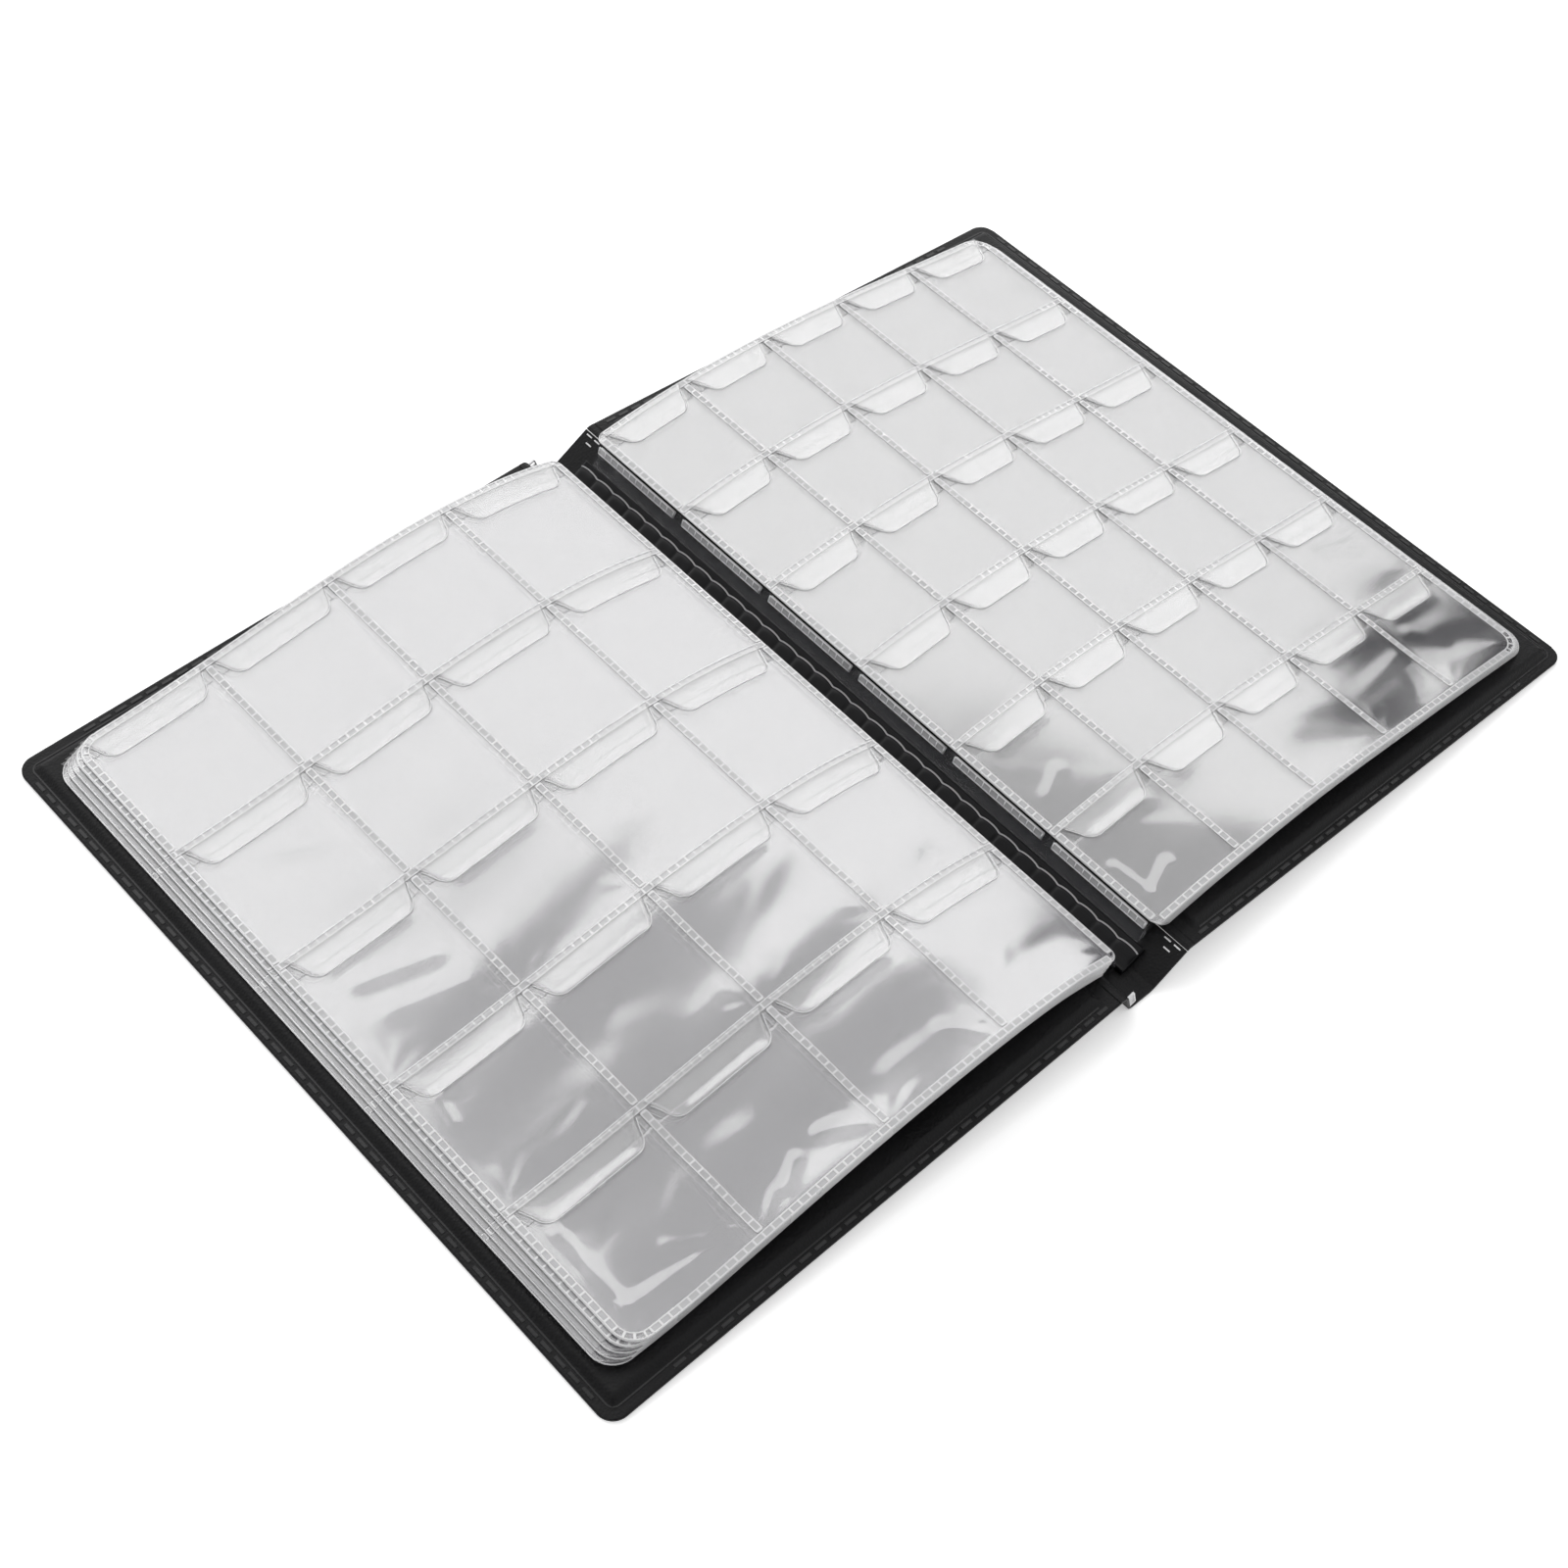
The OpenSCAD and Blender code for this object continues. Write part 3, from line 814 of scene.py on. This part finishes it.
def build_binding():
    """Glossy strip along the middle of the spine, pressed into a row of pillow cells."""
    cells = 31
    pitch = LEAF_L / cells
    corner = np.array([(BIND_L, 0.0), (-0.5, 0.0), (1.0, 0.5), tuple(FLANK_START + FLANK * BIND_RUN)])
    dense = []
    for a, b in zip(corner[:-1], corner[1:]):
        n = max(2, int(np.linalg.norm(b - a) / 0.3))
        dense += [a + (b - a) * k / n for k in range(n)]
    dense = np.array(dense + [corner[-1]])
    for _ in range(8):
        dense[1:-1] = (dense[:-2] + 2 * dense[1:-1] + dense[2:]) / 4
    y = ticks([-LEAF_L / 2, LEAF_L / 2], 0.5)
    normal, along = path_normals(dense), path_run(dense)
    left_end, right_end, bow = 1.2, along[-1] - 2.4, 1.1

    def brow(y_value):
        """Where the scalloped weld line runs: an arc over every cell."""
        turn = ((y_value / pitch + 0.5) % 1 - 0.5) * 2
        return right_end + bow * (np.sqrt(np.clip(1 - 0.8 * turn**2, 0, 1)) - 0.45)

    turn = ((y / pitch + 0.5) % 1 - 0.5) * 2
    groove = np.clip(1 - np.abs(turn) ** 5, 0, 1) ** 0.5
    s_in = (along[:, None] - left_end) / (brow(y)[None, :] - left_end)
    body = np.clip(1 - np.abs(2 * s_in - 1) ** 3.5, 0, 1) ** 0.5
    rise = BIND_TOP - 0.3 + 0.5 * body * groove[None, :]

    def layer(height):
        return np.stack([
            dense[:, :1] + normal[:, :1] * height,
            np.broadcast_to(y, height.shape),
            dense[:, 1:] + normal[:, 1:] * height,
        ], -1)

    upper, lower = layer(rise), layer(np.full_like(rise, LINER_TOP))
    points, faces = shell(upper[:, ::-1], lower[:, ::-1])
    add_piece(
        "binding_pressed_strip", points, faces, MATERIALS["binding_gloss"], "binding_gloss",
        "spine", ["binding_strip", "binding_weld_cells"],
    )

    def on_strip(line, height):
        x, z = (
            np.interp(line[:, 0], along, dense[:, k]) + np.interp(line[:, 0], along, normal[:, k]) * height
            for k in (0, 1)
        )
        return np.stack([x, line[:, 1], z], 1)

    fine = np.linspace(-LEAF_L / 2 + 0.3, LEAF_L / 2 - 0.3, cells * 14)
    bead = ridges([np.stack([brow(fine) + 0.1, fine], 1)], 0.24, BIND_TOP - 0.4, BIND_TOP + 0.05, on_strip)
    borders = [(k - cells / 2) * pitch for k in range(1, cells)]
    marks = [[(left_end - 0.6, border), (left_end + 0.7, border + 0.15)] for border in borders]
    tick_marks = ridges(marks, 0.22, BIND_TOP - 0.4, BIND_TOP + 0.1, on_strip)
    trim = join_parts([bead, tick_marks])
    # the scallop bead and ticks are grey, a painted highlight on the black binding
    add_piece("binding_scallop_bead", *trim, BEAD_HIGHLIGHT_FILM, "clear_film", "spine", smooth=False)


def build_spine_ends():
    """Short weld dashes beside the hinges, and the ladder weld that closes the left flank at both ends."""
    def on_flank(path, height):
        place = FLANK_START + FLANK * path[:, :1] + FLANK_UP * height
        return np.stack([place[:, 0], path[:, 1], place[:, 1]], 1)

    dash = 2.2
    dashes = [
        [(FLANK_RUN - inset, end * (start + dash)), (FLANK_RUN - inset, end * start)]
        for end in (-1, 1)
        for inset, start in ((1.0, 115.4), (1.0, 118.8), (3.2, 117.0))
    ]
    parts = [ridges(dashes, 0.25, LINER_TOP - 0.1, LINER_TOP + 0.25, on_flank)]
    low, high, ladder = np.array((-9.2, 1.6)), np.array((-11.3, 7.1)), 2.2
    for end in (-1, 1):
        def on_end(path, height, end=end):
            place = low + (high - low) * path[:, :1] + np.array((1.0, 0.35)) * path[:, 1:]
            y = np.full(len(path), end * (COVER_H / 2 - 0.4 + height))
            return np.stack([place[:, 0], y, place[:, 1]], 1)

        rails = [[(0.0, side), (1.0, side)] for side in (0.0, ladder)]
        rungs = [[(k, 0.0), (k, ladder)] for k in np.linspace(0, 1, 4)]
        parts.append(ridges(rails, 0.22, -0.3, 0.3, on_end))
        parts.append(ridges(rungs, 0.05, -0.3, 0.3, on_end))
    # the dashes and end ladders are near white, painted glints
    add_piece("spine_end_welds", *join_parts(parts), ROOT_WELD_LIT_FILM, "rim_weld", "spine", smooth=False)


# ---- covers ----


def cover_place(side, x, y, z):
    """Points of a cover drawn flat, with its hinge line at x = 0."""
    return np.stack([
        side * (HINGE_X + x * math.cos(TILT) + z * math.sin(TILT)),
        y,
        HINGE_Z - x * math.sin(TILT) + z * math.cos(TILT),
    ], -1)


def rim_ticks(low, high, far_low, far_high):
    """Grid lines that are close near both ends and wide apart between them."""
    fine, wide = 0.6, 4
    near, far = low + far_low, high - far_high
    runs = (ticks([low, near], fine), ticks([near, far], wide), ticks([far, high], fine))
    return np.unique(np.concatenate(runs))


def build_lining(side):
    """Inner vinyl: flat at the welded rim, drawn softly up over the board."""
    x_start, x_end = WEB + 0.1, COVER_W
    half = COVER_H / 2
    board_x0, board_x1, board_y = WEB + RIM, COVER_W - RIM, half - RIM
    x, y = np.meshgrid(rim_ticks(x_start, x_end, 9, 12), rim_ticks(-half, half, 12, 12), indexing="ij")
    over = np.clip(x - (x_end - COVER_R), 0, COVER_R * 0.9999)
    reach = np.maximum(np.sqrt(COVER_R**2 - over**2) / COVER_R, 0.03)
    straight = half - COVER_R
    plan_y = np.where(np.abs(y) > straight, np.sign(y) * (straight + (np.abs(y) - straight) * reach), y)
    inside = np.minimum(np.minimum(x - board_x0, board_x1 - x), board_y - np.abs(y))
    drape = smooth_step((inside + 2.3) / 2.2)
    wobble = 0.05 * np.sin(x * 0.31 + side) * np.sin(y * 0.17 + 1.3 * side)
    top_z = RIM_T + drape * (BOARD_T + 0.05 + wobble)
    low_z = 0.4 + drape * (BOARD_T + 0.02)
    top, bottom = cover_place(side, x, plan_y, top_z), cover_place(side, x, plan_y, low_z)
    if side == LEFT:
        top, bottom = top[:, ::-1], bottom[:, ::-1]
    name, slot = f"{SIDES[side]}_cover", "cover_lining"
    add_piece(f"{name}_lining", *shell(top, bottom), MATERIALS[slot], slot, name, [f"{name}_liner"])


# ---- room ----

ROOM_LEVEL, PANEL_GAIN, FLAG_LOSS = 0.9, 1.1, 0.88


def build_room():
    floor_mesh = bpy.data.meshes.new("floor")
    reach, below = 6.0, -0.0002
    corners = [(x * reach, y * reach, below) for x, y in ((-1, -1), (1, -1), (1, 1), (-1, 1))]
    floor_mesh.from_pydata(corners, [], [(0, 1, 2, 3)])
    paint = Nodes("floor_paint")
    paint.shader.inputs["Roughness"].default_value = 0.9
    paint.shader.inputs["Specular IOR Level"].default_value = 0.0
    tone = paint.noise(3.0, 2.0)
    paint.colours(tone, "Fac", (0.93, 0.93, 0.93), (0.95, 0.95, 0.95))
    paint.shader.inputs["Emission Color"].default_value = (1.0, 1.0, 1.0, 1)
    paint.shader.inputs["Emission Strength"].default_value = 0.4
    paint.material.cycles.emission_sampling = "NONE"
    floor_mesh.materials.append(paint.material)
    floor = bpy.data.objects.new("floor", floor_mesh)
    bpy.context.scene.collection.objects.link(floor)

    world = bpy.data.worlds.new("studio")
    bpy.context.scene.world = world
    world.use_nodes = True
    tree = world.node_tree
    nodes, links = tree.nodes, tree.links
    background = nodes["Background"]

    def math_node(operation, *inputs):
        node = nodes.new("ShaderNodeMath")
        node.operation = operation
        for k, value in enumerate(inputs):
            if isinstance(value, (int, float)):
                node.inputs[k].default_value = value
            else:
                links.new(value, node.inputs[k])
        return node.outputs[0]

    def ramp(value, start, stop):
        node = nodes.new("ShaderNodeMapRange")
        node.interpolation_type = "SMOOTHSTEP"
        links.new(value, node.inputs["Value"])
        node.inputs["From Min"].default_value = start
        node.inputs["From Max"].default_value = stop
        return node.outputs["Result"]

    def off(value, start, stop):
        return math_node("SUBTRACT", 1.0, ramp(value, start, stop))

    def product(first, *others):
        for other in others:
            first = math_node("MULTIPLY", first, other)
        return first

    direction = nodes.new("ShaderNodeTexCoord")
    split = nodes.new("ShaderNodeSeparateXYZ")
    links.new(direction.outputs["Generated"], split.inputs[0])
    height = math_node("ARCSINE", split.outputs["Z"])
    round_about = math_node("ARCTAN2", split.outputs["X"], split.outputs["Y"])
    deg = math.radians

    # One big soft panel, whose top edge slants down to the right
    turned = math_node("MAXIMUM", math_node("SUBTRACT", round_about, deg(38)), 0.0)
    slanted = math_node("ADD", height, product(turned, 0.35))
    panel = product(
        ramp(height, deg(4), deg(14)), off(slanted, deg(61.2), deg(64.8)),
        ramp(round_about, deg(-40), deg(-20)), off(round_about, deg(70.8), deg(72.6)),
    )
    # A black flag on the panel's right
    flag = product(
        ramp(round_about, deg(71.2), deg(72.8)), off(round_about, deg(92), deg(100)),
        off(height, deg(38), deg(46)),
    )
    level = math_node("ADD", ROOM_LEVEL, product(panel, PANEL_GAIN))
    level = math_node("SUBTRACT", level, product(flag, FLAG_LOSS))
    # The room is darker on the side that the main view comes from
    towards = [product(split.outputs[axis], part) for axis, part in (("X", -0.78), ("Y", -0.62))]
    dim = product(ramp(math_node("ADD", *towards), 0.15, 0.75), 0.75)
    level = product(level, math_node("SUBTRACT", 1.0, dim))
    links.new(level, background.inputs["Strength"])
    background.inputs["Color"].default_value = (1.0, 1.0, 1.0, 1)
    bpy.context.scene.view_settings.view_transform = "Standard"
    cycles = bpy.context.scene.cycles
    cycles.transparent_max_bounces = 48
    cycles.diffuse_bounces, cycles.glossy_bounces, cycles.max_bounces = 2, 3, 6


def dress_carried_nodes():
    """Gives materials to the CAD nodes that are shown as they are."""
    carried = {"spine_skin": "cover_skin", "spine_liner": "cover_lining"}
    for word in SIDES.values():
        carried[f"{word}_hinge_web"] = "cover_lining"
        carried[f"{word}_cover_skin"] = "cover_skin"
        carried[f"{word}_cover_board"] = "grey_board"
        carried[f"{word}_cover_rim_weld"] = "rim_weld"
    for name, slot in carried.items():
        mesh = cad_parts[name].data
        mesh.materials.clear()
        mesh.materials.append(MATERIALS[slot])


build_room()
for side in SIDES:
    build_lining(side)
    for number in range(1, LEAVES + 1):
        Leaf(side, number).build()
        build_margin(side, number)
build_binding()
build_spine_ends()
dress_carried_nodes()
